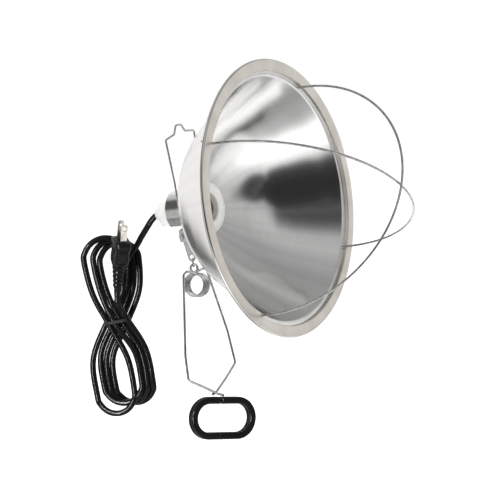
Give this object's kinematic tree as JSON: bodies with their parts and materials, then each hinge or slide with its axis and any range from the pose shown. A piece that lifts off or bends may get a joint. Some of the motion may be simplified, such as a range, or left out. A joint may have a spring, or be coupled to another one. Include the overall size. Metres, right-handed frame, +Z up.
{
  "type": "heat lamp fixture",
  "caption": "Clamp-on brooder heat lamp: spun aluminium bell on a porcelain socket, crossed wire guard, wire hanging bail, spring clamp with padded jaws, tied power cord with plug.",
  "frame": {"origin": "middle of the wire at the top of the hanging bail", "axes": "+Z up out of the bail's top; -Y the way the lamp's mouth faces, along the lamp's axis; +X to the right when looking along +Y into the mouth"},
  "size_m": [0.2668, 0.3686, 0.3708],
  "materials": {
    "spun_aluminium": "satin spun aluminium",
    "steel_wire": "bright drawn steel wire",
    "zinc": "bright zinc plate",
    "spring_steel": "plated spring wire",
    "porcelain": "white glazed porcelain",
    "brass": "formed brass",
    "black_vinyl": "glossy black vinyl",
    "cord_jacket": "satin black cord jacket",
    "tie_plastic": "matt black twist tie",
    "nickel": "nickel-plated blade"
  },
  "bodies": {
    "fixture": {"reflector_bowl": "spun_aluminium", "guard_hoop_1": "steel_wire", "guard_hoop_2": "steel_wire", "socket_front": "porcelain", "socket_rear": "porcelain", "screw_shell": "brass", "centre_contact": "brass", "terminal_screw_1": "brass", "terminal_screw_2": "brass", "collar_band": "zinc", "collar_screw": "zinc", "collar_nut": "zinc", "cord_lead": "cord_jacket", "cord_hank": "cord_jacket", "cord_tail": "cord_jacket", "cord_tie": "tie_plastic", "plug_body": "black_vinyl", "plug_blade_1": "nickel", "plug_blade_2": "nickel"},
    "bail": {"hang_bail": "steel_wire"},
    "strap": {"clamp_strap": "zinc"},
    "link": {"link_ring": "steel_wire"},
    "clamp_head": {"clamp_coil": "spring_steel"},
    "arm_left": {"clamp_arm_left": "spring_steel", "jaw_pad_right": "black_vinyl"},
    "arm_right": {"clamp_arm_right": "spring_steel", "jaw_pad_left": "black_vinyl"}
  },
  "joints": [
    {"name": "bail_pivot", "type": "hinge", "parent": "fixture", "child": "bail", "pos_m": [0, 0, -0.09], "axis": [1, 0, 0], "range_deg": [-90, 12]},
    {"name": "strap_pivot", "type": "hinge", "parent": "fixture", "child": "strap", "pos_m": [0, 0.0135, -0.11], "axis": [1, 0, 0], "range_deg": [-20, 5]},
    {"name": "link_swing", "type": "hinge", "parent": "strap", "child": "link", "pos_m": [0, 0.0099, -0.1315], "axis": [1, 0, 0], "range_deg": [-12, 12]},
    {"name": "clamp_swing", "type": "hinge", "parent": "link", "child": "clamp_head", "pos_m": [0, 0.0095, -0.1409], "axis": [0.3827, 0.9239, 0], "range_deg": [-12, 12]},
    {"name": "arm_left_squeeze", "type": "hinge", "parent": "clamp_head", "child": "arm_left", "pos_m": [0, 0.0095, -0.1595], "axis": [-0.3827, -0.9239, 0], "range_deg": [0, 12], "stiffness_Nm_per_rad": 1.5, "springref_deg": -17.19},
    {"name": "arm_right_squeeze", "type": "hinge", "parent": "clamp_head", "child": "arm_right", "pos_m": [0, 0.0095, -0.1595], "axis": [-0.3827, -0.9239, 0], "range_deg": [-12, 0], "stiffness_Nm_per_rad": 1.5, "springref_deg": 17.19}
  ],
  "couplings": [
    {"joint": "arm_right_squeeze", "follows": "arm_left_squeeze", "ratio": -1}
  ]
}
